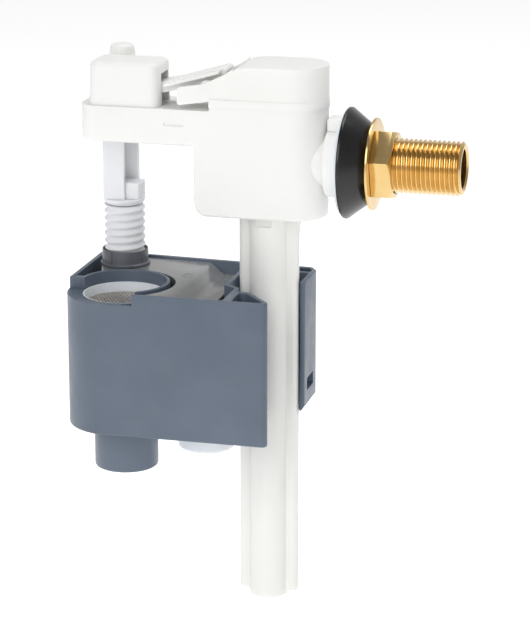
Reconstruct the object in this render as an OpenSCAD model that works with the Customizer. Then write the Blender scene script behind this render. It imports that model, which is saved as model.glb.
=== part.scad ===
// Side-entry toilet fill valve with a lever-worked diaphragm and a bucket float.
// Millimetres, +Z up. The origin is the centre of the inlet thread's outer end, and +X points out of it.
// Shapes are drawn in the down-pipe's own frame: X = 0, Y = 0 is the pipe's axis, Z = 0 the inlet's axis.

/* [Inlet] */
// Distance from the down-pipe's axis to the outer end of the inlet thread
inlet_reach = 76; // [74:1:90]
// Radius over the crests of the free inlet thread
thread_r = 10.478; // [10.40:0.001:10.50]
// Radius over the crests where the thread lies under the gasket and the nut
inner_thread_r = 10.2; // [10.0:0.05:10.25]
// Pitch of the inlet thread
thread_pitch = 1.814; // [1.814:0.001:1.815]
// Length of thread left free past the nut
free_thread = 26; // [20:1:30]
// Radius of the inlet's through bore
inlet_bore_r = 7.6; // [6.5:0.1:8.0]
// Width across the flats of the lock nut
nut_flats = 25; // [24:0.5:30]
// Thickness of the lock nut
nut_h = 8; // [6:0.5:9]
// Outer radius of the wall gasket at its lip
gasket_r = 21.35; // [18:0.05:24]

/* [Valve body] */
// Distance from the pipe's axis to the body's left face
body_left = 26.7; // [25:0.1:30]
// Half of the body's front-to-back depth
body_half = 13.3; // [13:0.1:15]
// Height of the body's underside below the inlet's axis
body_low = 21.5; // [21:0.5:24]
// Height of the body's top rim above the inlet's axis
body_top = 23.6; // [23.6:0.1:23.6]
// Height of the cap's flat top
cap_top = 37.3; // [36:0.1:40]

/* [Arm and lever] */
// Distance from the pipe's axis to the arm's left end
arm_left = 73; // [72:0.5:76]
// Underside of the arm
arm_low = 5.8; // [4:0.1:7]
// Top of the arm
arm_top = 19.8; // [19.5:0.1:20]
// Height of the lever's pivot
pivot_z = 28.2; // [28:0.1:28.5]
// How far the float lifts to shut the valve
float_stroke = 6; // [4:0.5:6]

/* [Float] */
// Height of the float's rim below the inlet's axis
float_rim = 48; // [46:0.5:50]
// Height of the float's underside below the inlet's axis
float_low = 105.1; // [100:0.1:110]
// Wall thickness of the float
float_wall = 1.8; // [1.5:0.1:2.2]
// Bottom of the drain cup's tail below the inlet's axis
tail_low = 122.8; // [115:0.2:126]

/* [Down-pipe] */
// Radius of the down-pipe's tube
pipe_r = 7.8; // [7.5:0.1:7.8]
// Radius of its bore
pipe_bore_r = 6.2; // [5.8:0.1:6.4]
// Reach of its two side ribs from the axis
rib_reach = 11.8; // [10:0.1:12]
// Bottom of the pipe below the inlet's axis
pipe_low = 178.2; // [160:0.2:190]

/* [Hidden] */
$fn = 64;

// small overshoot that lets a cut pass a face cleanly
eps = 1;
// centre of the body's round right end
body_round_x = 9.7;
// the body's right-hand extreme
body_right = body_round_x + body_half;
// stations along the inlet, from the pipe's axis
collar_x = 23.4;
shoulder_x = 29.5;
gasket_x = 30.7;
washer_x = 40.95;
nut_x = 42;
thread_start = 28.4;
free_start = inlet_reach - free_thread;
// lever pivot and the float rod it reaches for
pivot_x = -22;
rod_x0 = -62.5;
rod_y0 = 12.5;
link_z = 23.4;
close_angle = float_stroke / (pivot_x - rod_x0) * 180 / PI;
// pilot nozzle
nozzle_x = -16.2;
nozzle_top = 29.8;
// diaphragm chamber
chamber_r = 11.6;
ledge_z = 16;
membrane_h = 1.6;
tower_r = 7.4;
seat_bore_r = 4.8;
// spindle thread
spindle_r = 8.15;
spindle_root_r = 7;
spindle_pitch = 3;
spindle_top = -22.5;
spindle_turns = 20;
// drain cup
cup_x = -54;
cup_y = -16.3;
cup_r = 17.8;
cup_bore_r = 16.4;
tail_r = 12.5;
rim_step = 4.6;
// check float
check_x = -27.6;
check_y = 6.5;
check_r = 11.4;

white = [0.95, 0.95, 0.94];
slate = [0.42, 0.46, 0.50];
brass = [0.80, 0.62, 0.30];
black = [0.10, 0.10, 0.11];
steel = [0.62, 0.60, 0.57];

function arc(cx, cy, r, a0, a1, n = 10) =
    [for (i = [0:n]) [cx + r * cos(a0 + (a1 - a0) * i / n), cy + r * sin(a0 + (a1 - a0) * i / n)]];

module at_pipe() { translate([-inlet_reach, 0, 0]) children(); }

module block(x0, x1, y0, y1, z0, z1) {
    translate([x0, y0, z0]) cube([x1 - x0, y1 - y0, z1 - z0]);
}

module post(x, y, r, z0, z1) {
    translate([x, y, z0]) cylinder(r = r, h = z1 - z0);
}

module bar_y(x, z, r, y0, y1) {
    translate([x, y0, z]) rotate([-90, 0, 0]) cylinder(r = r, h = y1 - y0);
}

module bar_x(r, x0, x1) {
    translate([x0, 0, 0]) rotate([0, 90, 0]) cylinder(r = r, h = x1 - x0);
}

// turns a profile of [x, radius] points about the inlet's axis
module turned_x(points) {
    rotate([0, 90, 0]) rotate_extrude() polygon([for (p = points) [p[1], p[0]]]);
}

module turned_z(x, y, points) {
    translate([x, y, 0]) rotate_extrude() polygon(points);
}

// extrudes a side view of [x, z] points from y0 to y1
module side_plate(points, y0, y1) {
    translate([0, y1, 0]) rotate([90, 0, 0]) linear_extrude(y1 - y0) polygon(points);
}

module plan_plate(points, z0, z1) {
    translate([0, 0, z0]) linear_extrude(z1 - z0) polygon(points);
}

// plan of the body and cap: round at the right, square with small corners at the left
function body_plan(left, half, corner = 3) = concat(
    arc(body_round_x, 0, half, -90, 90, 24),
    arc(corner - left, half - corner, corner, 90, 180, 5),
    arc(corner - left, corner - half, corner, 180, 270, 5));

module housing_block() {
    edge = 3;
    intersection() {
        plan_plate(body_plan(body_left, body_half), -body_low, body_top);
        side_plate([[-body_left, body_top], [-body_left, edge - body_low], [edge - body_left, -body_low],
            [body_right - edge, -body_low], [body_right, edge - body_low], [body_right, body_top]],
            -body_half, body_half);
    }
}

arm_plan = concat(
    arc(8 - arm_left, -4.5, 8, 180, 270, 8),
    [[-24, -12.5], [-24, 12.5], [-42, 12.5], [-51, 21]],
    arc(5 - arm_left, 16, 5, 90, 180, 6));

module arm() {
    roof = 2.6;
    difference() {
        plan_plate(arm_plan, arm_low, arm_top);
        block(-55, -40, -10.5, 10.5, arm_low - eps, arm_top - roof);
        block(-38, -29, -10.5, 10.5, arm_low - eps, arm_top - roof);
        block(-69.8, -57.6, 5.6, 19.4, arm_low - eps, arm_top + eps);
    }
}

module valve_housing() color(white) {
    difference() {
        union() {
            housing_block();
            arm();
            bar_x(10, 9, collar_x);
        }
        post(0, 0, chamber_r, ledge_z, body_top + eps);
        difference() {
            post(0, 0, 9.8, -6, ledge_z + eps);
            post(0, 0, tower_r, -6 - eps, 14.5);
        }
        post(0, 0, 5.3, -10, ledge_z);
        post(0, 0, 6.2, 11.5, ledge_z);
        post(0, 0, pipe_r + 0.05, -body_low - eps, -9);
        bar_x(9.1, 9.4, collar_x + eps);
        block(-24.6, -14.4, -10.8, 10.8, -18.5, body_top + eps);
    }
}

module outlet_pipe() color(white) {
    difference() {
        union() {
            post(0, 0, pipe_r, -pipe_low, -9.1);
            block(-rib_reach + 2, rib_reach - 2, -2.2, 2.2, 2 - pipe_low, -body_low - 0.1);
            for (side = [-1, 1])
                post(side * (rib_reach - 2.6), 0, 2.6, 2 - pipe_low, -body_low - 0.1);
            side_plate([[9, -body_low - 0.1], [15.4, -body_low - 0.1], [12.9, -23], [11.7, -26], [9, -26]], -2, 2);
        }
        post(0, 0, pipe_bore_r, -pipe_low - eps, 0);
        difference() {
            post(0, 0, pipe_r + 1, -14.6, -12.4);
            post(0, 0, 6.9, -15.6, -11.4);
        }
    }
}

module outlet_seal() color(black) {
    translate([0, 0, -13.5]) rotate_extrude() translate([7.37, 0]) circle(r = 0.45, $fn = 24);
}

module seat_ring() color(white) {
    turned_z(0, 0, [[seat_bore_r, 11.5], [6.18, 11.5], [6.18, 14.6], [5.9, ledge_z - 0.02],
        [5.2, ledge_z - 0.02], [seat_bore_r, 15.6]]);
}

module diaphragm() color(black) {
    difference() {
        turned_z(0, 0, [[2.1, ledge_z], [11.5, ledge_z], [11.5, ledge_z + membrane_h + 0.4],
            [10.2, ledge_z + membrane_h + 0.4], [9.7, ledge_z + membrane_h], [2.1, ledge_z + membrane_h]]);
        post(7.6, 0, 0.5, ledge_z - eps, ledge_z + 3);
    }
}

module diaphragm_insert() color(white) {
    plate_z = ledge_z + membrane_h;
    difference() {
        union() {
            post(0, 0, 8.6, plate_z + 0.02, plate_z + 1.8);
            post(0, 0, 2, ledge_z - eps, plate_z + 0.5);
            post(0, 0, 3.9, ledge_z - 1.8, ledge_z - 0.02);
            for (a = [45, 135])
                rotate(a) block(-4.7, 4.7, -0.6, 0.6, 7.5, ledge_z - 0.4);
        }
        post(7.6, 0, 0.4, 0, 30);
    }
}

module metering_pin() color(steel) post(7.6, 0, 0.3, 14.6, 31.4);

module cap_cheeks() {
    inner = 10.4;
    outer = 13.4;
    profile = [[-33, 21.6], [-33, 28.2], [-24, 29.5], [-14.5, 33.9], [-12, 34.6], [-12, 24], [-21, 24]];
    for (span = [[-outer, -inner], [inner, outer]])
        side_plate(profile, span[0], span[1]);
    for (span = [[-inner - 0.5, -7.2], [7.2, inner + 0.5]])
        bar_y(pivot_x, pivot_z, 2.9, span[0], span[1]);
}

module chamber_cap() color(white) {
    difference() {
        union() {
            plan_plate(body_plan(21, 13.7), body_top, 27.5);
            intersection() {
                plan_plate(body_plan(13.2, 13.7, 0.5), 27, cap_top);
                side_plate([[-14, 27], [-14, 33.6], [-9, 36.5], [-7, cap_top], [24, cap_top], [24, 27]], -20, 20);
            }
            cap_cheeks();
            post(0, 0, chamber_r - 0.05, ledge_z + membrane_h + 0.4, body_top + 0.5);
        }
        post(0, 0, 9.5, ledge_z, 31);
        block(-21.5, -13, -7.2, 7.2, 25, cap_top);
        difference() {
            post(0, 0, chamber_r + 1, 20, 21.8);
            post(0, 0, 10.3, 19, 23);
        }
        bar_y(pivot_x, pivot_z, 1.3, -12.6, 12.6);
        post(7.6, 0, 0.34, 30, 31.5);
    }
    difference() {
        post(nozzle_x, 0, 2.6, 24.8, 28);
        post(nozzle_x, 0, 1.8, 25.6, 29);
    }
}

module cap_seal() color(black) {
    translate([0, 0, 20.9]) rotate_extrude() translate([10.92, 0]) circle(r = 0.6, $fn = 24);
}

module pilot_nozzle() color(brass) {
    turned_z(nozzle_x, 0, [[0.4, 25.65], [1.75, 25.65], [1.75, 28.4], [0.9, nozzle_top], [0.4, nozzle_top]]);
}

module lever_pin() color(steel) bar_y(pivot_x, pivot_z, 1.28, -12.5, 12.5);

lever_y0 = -6.4;
lever_y1 = 5.2;
// side view of the lever's bar
lever_profile = [[-66, 20.6], [-60, 20.8], [-50, 22.6], [-40, 25], [-25, 28], [-18, 31.2], [-14.6, 32.6],
    [-14.4, 34.6], [-16.4, 35.5], [-34.9, 30.1], [-42.5, 28.4], [-50, 27.2], [-60, 26.4], [-66, 26]];

module swung_open() {
    translate([pivot_x, 0, pivot_z]) rotate([0, -close_angle, 0]) translate([-pivot_x, 0, -pivot_z]) children();
}

module float_lever() color(white) {
    difference() {
        union() {
            side_plate(lever_profile, lever_y0, lever_y1);
            bar_y(pivot_x, pivot_z, 2.9, lever_y0, lever_y1);
            swung_open() post(nozzle_x, 0, 2.6, nozzle_top + 1.5, 34);
        }
        side_plate([[-58, 18], [-58, 24.6], [-50, 25.4], [-42.5, 26.6], [-34.9, 28.3], [-27, 30.6], [-27, 18]],
            lever_y0 + 2, lever_y1 - 2);
        bar_y(pivot_x, pivot_z, 1.35, lever_y0 - eps, lever_y1 + eps);
        block(rod_x0 - 2.6, rod_x0 + 2.6, lever_y0 - eps, lever_y1 + eps, link_z - 2, link_z + 2);
        swung_open() post(nozzle_x, 0, 2.26, nozzle_top - 3, nozzle_top + 1.5);
    }
}

module pilot_pad() color(black) {
    swung_open() post(nozzle_x, 0, 2.2, nozzle_top + 0.2, nozzle_top + 1.5);
}

module arm_hood() color(white) {
    difference() {
        block(-69.1, -40.7, -12.5, 7.3, arm_top, 36.6);
        block(-67.5, -42.3, -10.9, 5.7, arm_top - eps, 34.9);
        block(-50, -40, lever_y0 - 0.5, lever_y1 + 0.4, arm_top - eps, 32.2);
        block(rod_x0 - 2.3, rod_x0 + 2.3, 5, 8, arm_top - eps, 31.8);
    }
}

module rod_rail() color(white) {
    stem_r = 4.6;
    difference() {
        block(-69.4, -58, 6, 19, -21.5, 13);
        block(-67.6, -57, 7.8, 17.2, -22.5, 11);
        block(-60.6, -57, 5, 7.9, -22.5, 11);
    }
    difference() {
        post(rod_x0, rod_y0, stem_r, 12, 30);
        bar_y(rod_x0, link_z, 1.8, 6, 18);
        post(rod_x0, rod_y0, 2.5, 26, 31);
    }
}

module link_pin() color(steel) bar_y(rod_x0, link_z, 1.78, -7.2, 16);

module test_button() color(white) {
    difference() {
        turned_z(rod_x0, rod_y0, [[0, 30.05], [5, 30.05], [5, 37.6], [4.4, 39], [3, 39.8], [0, 39.8]]);
        post(rod_x0, rod_y0, 2.5, 29, 35);
    }
    post(rod_x0, rod_y0, 2.45, 26.1, 35.5);
}

module threaded_spindle() color(white) {
    low = spindle_top - spindle_pitch * spindle_turns;
    ridges = [for (i = [0:spindle_turns - 1], p = [[spindle_root_r, 0], [spindle_root_r, 0.6],
        [spindle_r, 1.3], [spindle_r, 2.1], [spindle_root_r, 2.8]]) [p[0], low + i * spindle_pitch + p[1]]];
    turned_z(rod_x0, rod_y0, concat([[0, low]], ridges, [[7.9, spindle_top], [7.9, spindle_top + 0.9],
        [0, spindle_top + 0.9]]));
    difference() {
        block(-67.5, -55.2, 8, 17.1, -21.65, -15);
        for (i = [0:3])
            block(-55.8, -55, 9 + 1.9 * i, 10 + 1.9 * i, -23, -14);
    }
}

module thumb_collar() color(slate) {
    turned_z(rod_x0, rod_y0, [[8.2, -48.7], [9.9, -48.7], [9.9, -47.9], [9.2, -47.2], [9.2, -42.6],
        [8.9, -42.3], [8.7, -42.3], [8.5, -44], [8.2, -44.4]]);
}

shell_plan = concat(
    arc(-55.5, -15.6, 21, 180, 256.2, 12),
    arc(6.17, -34, 2, 270, 399, 6),
    [[-2.6, -20.5], [-8, -20.5], [-8, -15], [-13, -12], [-13, 13], [12.5, 13],
        [12.5, -1.4], [14.5, -1.4], [14.5, 18], [12, 22]],
    arc(-73.5, 24, 3, 87, 180, 5));

shell_cavity = concat(
    arc(-55.5, -15.6, 21 - float_wall, 180, 255.5, 12),
    [[-9.8, -34.2], [-9.8, -16], [-14.8, -13], [-14.8, 14.8], [12.7, 14.8], [12.7, 17.4], [11.2, 20.2]],
    arc(-73.5, 24, 3 - float_wall, 87, 180, 5));

pocket_cavity = [[-6.2, -34.2], [6, -34.2], [-3.4, -22.3], [-6.2, -22.3]];

module rim_cut() {
    block(-80, -45, -40, -15.5, -float_rim - rim_step, -float_rim + eps);
}

// fills the corner between the shell's wall and the drain cup, below the low part of the rim
module cup_web() {
    difference() {
        block(-80, -50, -40, -15.5, -float_rim - rim_step - 4, -float_rim + 2 * eps);
        post(cup_x, cup_y, cup_r + 0.1, -float_rim - rim_step - 5, -float_rim + 3 * eps);
    }
}

module float_shell() color(slate) {
    difference() {
        plan_plate(shell_plan, -float_low, -float_rim);
        difference() {
            plan_plate(shell_cavity, float_wall - float_low, -float_rim + eps);
            cup_web();
        }
        plan_plate(pocket_cavity, float_wall - float_low, -float_rim + eps);
        rim_cut();
        post(cup_x, cup_y, tail_r + 0.1, -float_low - eps, -float_low + 5);
        post(check_x, check_y, check_r + 0.4, -float_low - eps, -float_low + 5);
        translate([14.5, 0, -float_low]) rotate([0, 35, 0]) block(-5, 8, -3, 30, -20, 0);
        block(12, 15, 3, 13, -float_low + 12, -float_low + 17);
    }
}

deck_plan = [[-16, -33.6], [-16, 21.2], [-72.4, 24.6], [-72.4, 12], [-68, -2], [-56, -33.6]];
inner_deck_plan = [[-17.6, -32], [-17.6, 19.6], [-70.8, 22.8], [-70.8, 12.4], [-66.5, -1.5], [-54.9, -32]];

module float_deck() color([0.55, 0.58, 0.60]) {
    top = -float_rim - 0.8;
    step = 4.2;
    skirt = 14;
    difference() {
        intersection() {
            plan_plate(deck_plan, top - skirt, top);
            side_plate([[-80, top], [-29, top], [-25, top - step], [-15, top - step], [-15, top - skirt],
                [-80, top - skirt]], -40, 40);
        }
        intersection() {
            plan_plate(inner_deck_plan, top - skirt - eps, top);
            side_plate([[-80, top - 1.6], [-29.6, top - 1.6], [-25.6, top - step - 1.6], [-15, top - step - 1.6],
                [-15, top - skirt - eps], [-80, top - skirt - eps]], -40, 40);
        }
        post(cup_x, cup_y, cup_r + 2.2, top - skirt - eps, top + eps);
        post(rod_x0, rod_y0, spindle_r + 0.5, top - skirt - eps, top + eps);
        post(-33, 0, 2, top - 0.6, top + eps);
    }
}

module drain_cup() color(slate) {
    difference() {
        turned_z(cup_x, cup_y, [[cup_bore_r, -float_rim], [cup_bore_r, -64], [tail_r - 1.6, -74],
            [tail_r - 1.6, -tail_low], [tail_r - 0.8, -tail_low], [tail_r, 0.8 - tail_low], [tail_r, -75],
            [cup_r, -65], [cup_r, -float_rim]]);
        rim_cut();
    }
}

module filter_ring() color(white) {
    ring_top = -float_rim - rim_step - 0.1;
    turned_z(cup_x, cup_y, [[15, ring_top - 4.2], [cup_bore_r - 0.1, ring_top - 4.2], [cup_bore_r - 0.1, ring_top],
        [cup_bore_r - 1, ring_top], [15, ring_top - 3]]);
}

module filter_mesh() color(steel) post(cup_x, cup_y, 14.95, -57, -56.4);

module check_float() color(white) {
    floor_z = float_wall - float_low;
    turned_z(check_x, check_y, [[0, -120.9], [10, -120.9], [check_r, -119.6], [check_r, floor_z + 0.1],
        [check_r + 1, floor_z + 0.1], [check_r + 1, floor_z + 1.8], [check_r - 1.8, floor_z + 1.8],
        [check_r - 1.8, -118.9], [0, -118.9]]);
}

module inlet_collar() color(white) {
    difference() {
        turned_x([[collar_x, 9.1], [collar_x, 12.9], [collar_x + 0.6, 13.5], [shoulder_x, 13.5],
            [shoulder_x, 10.45], [27.6, 10.45], [27.6, 11.6], [25, 11.6], [25, 9.1]]);
        block(24.2, 26.4, -4.2, 4.2, 10.4, 14.5);
    }
}

module locking_clip() color(white) {
    difference() {
        block(23.6, 29, -5, 5, 12.6, 17.4);
        bar_x(13.54, 23, 30);
    }
    block(24.3, 26.3, -4.1, 4.1, 11.8, 13.8);
}

module shoulder_washer() color(white) {
    turned_x([[shoulder_x, 10.5], [shoulder_x, 20], [gasket_x, 20.3], [gasket_x, 10.5]]);
}

module wall_gasket() color(black) {
    turned_x([[gasket_x, 10.5], [gasket_x, gasket_r], [gasket_x + 1, gasket_r], [washer_x - 0.05, 14.35],
        [washer_x - 0.05, 10.5]]);
}

// crest-and-root profile of one stretch of thread, as [x, radius] points
function thread_points(x0, turns, crest) = [for (i = [0:turns - 1], p = [[0.1, crest - 1.16], [0.5, crest],
    [1.3, crest], [1.7, crest - 1.16]]) [x0 + (i + p[0] / thread_pitch) * thread_pitch, p[1]]];

module inlet_nipple() color(brass) {
    inner_turns = floor((free_start - thread_start) / thread_pitch);
    free_turns = floor((free_thread - 0.3) / thread_pitch);
    free_first = inlet_reach - free_turns * thread_pitch + 0.1;
    turned_x(concat([[9.6, 6], [9.6, 8.5], [10, 8.9], [11.6, 8.9], [11.6, 7.4], [13.8, 7.4], [13.8, 8.9],
        [16.4, 8.9], [16.4, 7.4], [18.6, 7.4], [18.6, 8.9], [25.1, 8.9], [25.1, 11.5], [27.5, 11.5],
        [27.5, inner_thread_r - 1.16]],
        thread_points(thread_start, inner_turns, inner_thread_r),
        thread_points(free_first, free_turns, thread_r),
        [[inlet_reach, thread_r - 1.16], [inlet_reach, inlet_bore_r], [31.6, inlet_bore_r], [31.6, 6]]));
}

module inlet_orings() color(black) {
    for (x = [12.7, 17.5])
        translate([x, 0, 0]) rotate([0, 90, 0]) rotate_extrude() translate([8.22, 0]) circle(r = 0.8, $fn = 24);
}

module inlet_strainer() color(white) {
    difference() {
        turned_x([[14, 0], [14, 5.7], [31.7, 5.7], [31.7, 7.5], [33, 7.5], [33, 4.9], [15.2, 4.9], [15.2, 0]]);
        for (a = [0:45:315], x = [16.5, 20.5, 24.5])
            rotate([a, 0, 0]) block(x, x + 2.8, -0.8, 0.8, 4, 7);
    }
}

module flow_regulator() color(slate) {
    turned_x([[10.4, 1.6], [10.4, 5.9], [12.6, 5.9], [12.6, 2.4], [11.4, 1.6]]);
}

module clamp_washer() color(brass) {
    turned_x([[washer_x, 10.6], [washer_x, 17.7], [washer_x + 1, 17.7], [washer_x + 1, 10.6]]);
}

module lock_nut() color(brass) {
    corner_r = nut_flats / 2 / cos(30);
    difference() {
        intersection() {
            translate([nut_x, 0, 0]) rotate([-13, 0, 0]) rotate([0, 90, 0]) rotate(30)
                cylinder(r = corner_r, h = nut_h, $fn = 6);
            turned_x([[nut_x, 0], [nut_x, corner_r + 1], [nut_x + nut_h - 1.2, corner_r + 1],
                [nut_x + nut_h, nut_flats / 2], [nut_x + nut_h, 0]]);
        }
        bar_x(10.56, nut_x - eps, nut_x + nut_h + eps);
    }
}

at_pipe() valve_housing();
at_pipe() outlet_pipe();
at_pipe() outlet_seal();
at_pipe() seat_ring();
at_pipe() diaphragm();
at_pipe() diaphragm_insert();
at_pipe() metering_pin();
at_pipe() chamber_cap();
at_pipe() cap_seal();
at_pipe() pilot_nozzle();
at_pipe() lever_pin();
at_pipe() float_lever();
at_pipe() pilot_pad();
at_pipe() arm_hood();
at_pipe() rod_rail();
at_pipe() link_pin();
at_pipe() test_button();
at_pipe() threaded_spindle();
at_pipe() thumb_collar();
at_pipe() float_shell();
at_pipe() float_deck();
at_pipe() drain_cup();
at_pipe() filter_ring();
at_pipe() filter_mesh();
at_pipe() check_float();
at_pipe() inlet_collar();
at_pipe() locking_clip();
at_pipe() shoulder_washer();
at_pipe() wall_gasket();
at_pipe() inlet_nipple();
at_pipe() inlet_orings();
at_pipe() inlet_strainer();
at_pipe() flow_regulator();
at_pipe() clamp_washer();
at_pipe() lock_nut();
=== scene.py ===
import math
import bmesh
import bpy
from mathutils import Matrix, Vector


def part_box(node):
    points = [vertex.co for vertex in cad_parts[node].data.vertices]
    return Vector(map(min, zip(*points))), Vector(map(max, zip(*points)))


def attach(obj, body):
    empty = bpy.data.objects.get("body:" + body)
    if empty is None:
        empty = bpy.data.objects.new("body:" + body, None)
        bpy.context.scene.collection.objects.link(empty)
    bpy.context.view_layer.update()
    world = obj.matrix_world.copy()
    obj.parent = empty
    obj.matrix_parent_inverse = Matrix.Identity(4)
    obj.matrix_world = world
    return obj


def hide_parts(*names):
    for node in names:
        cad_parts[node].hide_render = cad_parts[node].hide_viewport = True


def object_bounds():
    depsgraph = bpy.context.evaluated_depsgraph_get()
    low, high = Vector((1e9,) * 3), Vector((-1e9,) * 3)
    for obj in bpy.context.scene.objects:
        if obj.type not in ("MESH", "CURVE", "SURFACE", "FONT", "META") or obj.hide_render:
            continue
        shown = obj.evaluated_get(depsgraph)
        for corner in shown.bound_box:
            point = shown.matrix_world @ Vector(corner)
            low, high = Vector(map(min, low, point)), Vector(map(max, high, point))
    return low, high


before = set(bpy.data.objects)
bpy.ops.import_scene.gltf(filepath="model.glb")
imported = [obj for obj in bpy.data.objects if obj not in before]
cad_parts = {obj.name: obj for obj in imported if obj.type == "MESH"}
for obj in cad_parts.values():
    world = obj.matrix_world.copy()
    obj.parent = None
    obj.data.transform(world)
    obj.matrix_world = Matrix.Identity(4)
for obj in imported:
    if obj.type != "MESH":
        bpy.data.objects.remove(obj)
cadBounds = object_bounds()
mm = 0.001

# the down-pipe's axis: every place below is in millimetres from it, and in height from the inlet's axis
sealLow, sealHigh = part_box("outlet_seal")
pipeX = (sealLow[0] + sealHigh[0]) / 2
print("frame loaded:", len(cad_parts), "nodes")


def spot(x, y, z):
    return Vector((pipeX + x * mm, y * mm, z * mm))


# millimetres and degrees
viewing = {"aim": (2.6, -17.0, -59.7), "distance": 1017, "azimuth": 14.5, "tilt": 16, "lens": 149}


def setCamera():
    turn, tilt = math.radians(viewing["azimuth"]), math.radians(viewing["tilt"])
    ahead = Vector((-math.sin(turn) * math.cos(tilt), math.cos(turn) * math.cos(tilt), -math.sin(tilt)))
    bpy.ops.object.camera_add(location=spot(*viewing["aim"]) - ahead * viewing["distance"] * mm)
    camera = bpy.context.object
    camera.rotation_euler = ahead.to_track_quat("-Z", "Y").to_euler()
    camera.data.lens = viewing["lens"]
    camera.data.clip_end = 50  # metres
    bpy.context.scene.camera = camera


# metres and watts
softLights = {
    "key": {"place": (-0.3, -1.15, 0.72), "size": 0.9, "watts": 6.2},
    "top": {"place": (0.1, 0.35, 1.15), "size": 0.9, "watts": 8.5},
}
# the room's light runs from eye level to overhead, the screens' from the middle to both sides
studio = {"floorSize": 8, "floorDrop": 0.05, "floorWhite": 0.96, "floorRoughness": 0.9, "floorGlow": 0.48,
          "lightAim": (-0.08, 0, -0.06), "roomLight": (0.84, 0.25), "sideScreens": (1.16, 0.6)}


def setFloor():
    bpy.ops.object.select_all(action="DESELECT")
    bpy.ops.mesh.primitive_plane_add(size=studio["floorSize"],
                                     location=(0, 0, cadBounds[0][2] - studio["floorDrop"]))
    floor = bpy.context.object
    floor.name = "paleFloor"
    paint = bpy.data.materials.new("paleFloor")
    paint.use_nodes = True
    surface = paint.node_tree.nodes["Principled BSDF"]
    white = studio["floorWhite"]
    surface.inputs["Base Color"].default_value = (white, white, white, 1)
    surface.inputs["Roughness"].default_value = studio["floorRoughness"]
    surface.inputs["Emission Color"].default_value = (1, 1, 1, 1)
    surface.inputs["Emission Strength"].default_value = studio["floorGlow"]
    floor.data.materials.append(paint)


def setLights():
    for name, light in softLights.items():
        bpy.ops.object.light_add(type="AREA", location=light["place"])
        lamp = bpy.context.object
        lamp.name = name
        lamp.data.size = light["size"]
        lamp.data.energy = light["watts"]
        facing = Vector(studio["lightAim"]) - lamp.location
        lamp.rotation_euler = facing.to_track_quat("-Z", "Y").to_euler()


def setRoom():
    world = bpy.data.worlds.new("studio")
    world.use_nodes = True
    nodes, links = world.node_tree.nodes, world.node_tree.links
    nodes["Background"].inputs["Color"].default_value = (1, 1, 1, 1)
    height = nodes.new("ShaderNodeSeparateXYZ")
    links.new(nodes.new("ShaderNodeTexCoord").outputs["Generated"], height.inputs["Vector"])
    fade = nodes.new("ShaderNodeMapRange")
    fade.inputs["To Min"].default_value, fade.inputs["To Max"].default_value = studio["roomLight"]
    links.new(height.outputs["Z"], fade.inputs["Value"])
    sideways = nodes.new("ShaderNodeMath")
    sideways.operation = "ABSOLUTE"
    links.new(height.outputs["X"], sideways.inputs[0])
    screens = nodes.new("ShaderNodeMapRange")
    screens.inputs["To Min"].default_value, screens.inputs["To Max"].default_value = studio["sideScreens"]
    links.new(sideways.outputs["Value"], screens.inputs["Value"])
    blend = nodes.new("ShaderNodeMath")
    blend.operation = "MULTIPLY"
    links.new(fade.outputs["Result"], blend.inputs[0])
    links.new(screens.outputs["Result"], blend.inputs[1])
    links.new(blend.outputs["Value"], nodes["Background"].inputs["Strength"])
    bpy.context.scene.world = world
    bpy.context.scene.view_settings.view_transform = "Standard"


setCamera()
setFloor()
setLights()
setRoom()
print("camera and studio set")


# outlines are traced corner by corner, then pulled or spun into solids
outlineGap = 1e-7  # metres between an outline's doubled points
mergeGap = 2e-6  # metres between a solid's doubled points
sharpEdge = 30  # degrees


def deselectAll():
    if bpy.context.mode != "OBJECT":
        bpy.ops.object.mode_set(mode="OBJECT")
    bpy.ops.object.select_all(action="DESELECT")


def pick(piece):
    deselectAll()
    piece.select_set(True)
    bpy.context.view_layer.objects.active = piece


def softened(corners, steps=6):
    # each corner is (a, b, radius); the radius turns it into an arc of a few points
    points = []
    for index, (a, b, radius) in enumerate(corners):
        here = Vector((a, b))
        if radius <= 0:
            points.append(here)
            continue
        back = (Vector(corners[index - 1][:2]) - here).normalized()
        on = (Vector(corners[(index + 1) % len(corners)][:2]) - here).normalized()
        half = back.angle(on) / 2
        middle = here + (back + on).normalized() * radius / math.sin(half)
        start = here + back * radius / math.tan(half) - middle
        sweep = (on * radius / math.tan(half) + here - middle).angle_signed(start)
        for step in range(steps + 1):
            angle = sweep * step / steps
            points.append(middle + Vector((start.x * math.cos(angle) - start.y * math.sin(angle),
                                           start.x * math.sin(angle) + start.y * math.cos(angle))))
    return points


def arcCorners(x, y, radius, first, last, steps):
    angles = [math.radians(first + (last - first) * step / steps) for step in range(steps + 1)]
    return [(x + radius * math.cos(angle), y + radius * math.sin(angle), 0) for angle in angles]


def boxCorners(left, right, low, high, leftRound=0, rightRound=None):
    if rightRound is None:
        rightRound = leftRound
    return [(left, low, leftRound), (right, low, rightRound), (right, high, rightRound),
            (left, high, leftRound)]


def traceOutline(name, points, closed=True):
    deselectAll()
    bpy.ops.mesh.primitive_plane_add(size=mm)
    piece = bpy.context.object
    piece.name = name
    piece.data.name = name
    bpy.ops.object.mode_set(mode="EDIT")
    bpy.ops.mesh.merge(type="CENTER")
    bpy.ops.transform.translate(value=points[0])
    route = points + [points[0]] if closed else points
    for here, there in zip(route, route[1:]):
        bpy.ops.mesh.extrude_region_move(TRANSFORM_OT_translate={"value": there - here})
    bpy.ops.mesh.select_all(action="SELECT")
    bpy.ops.mesh.remove_doubles(threshold=outlineGap)
    return piece


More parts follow.
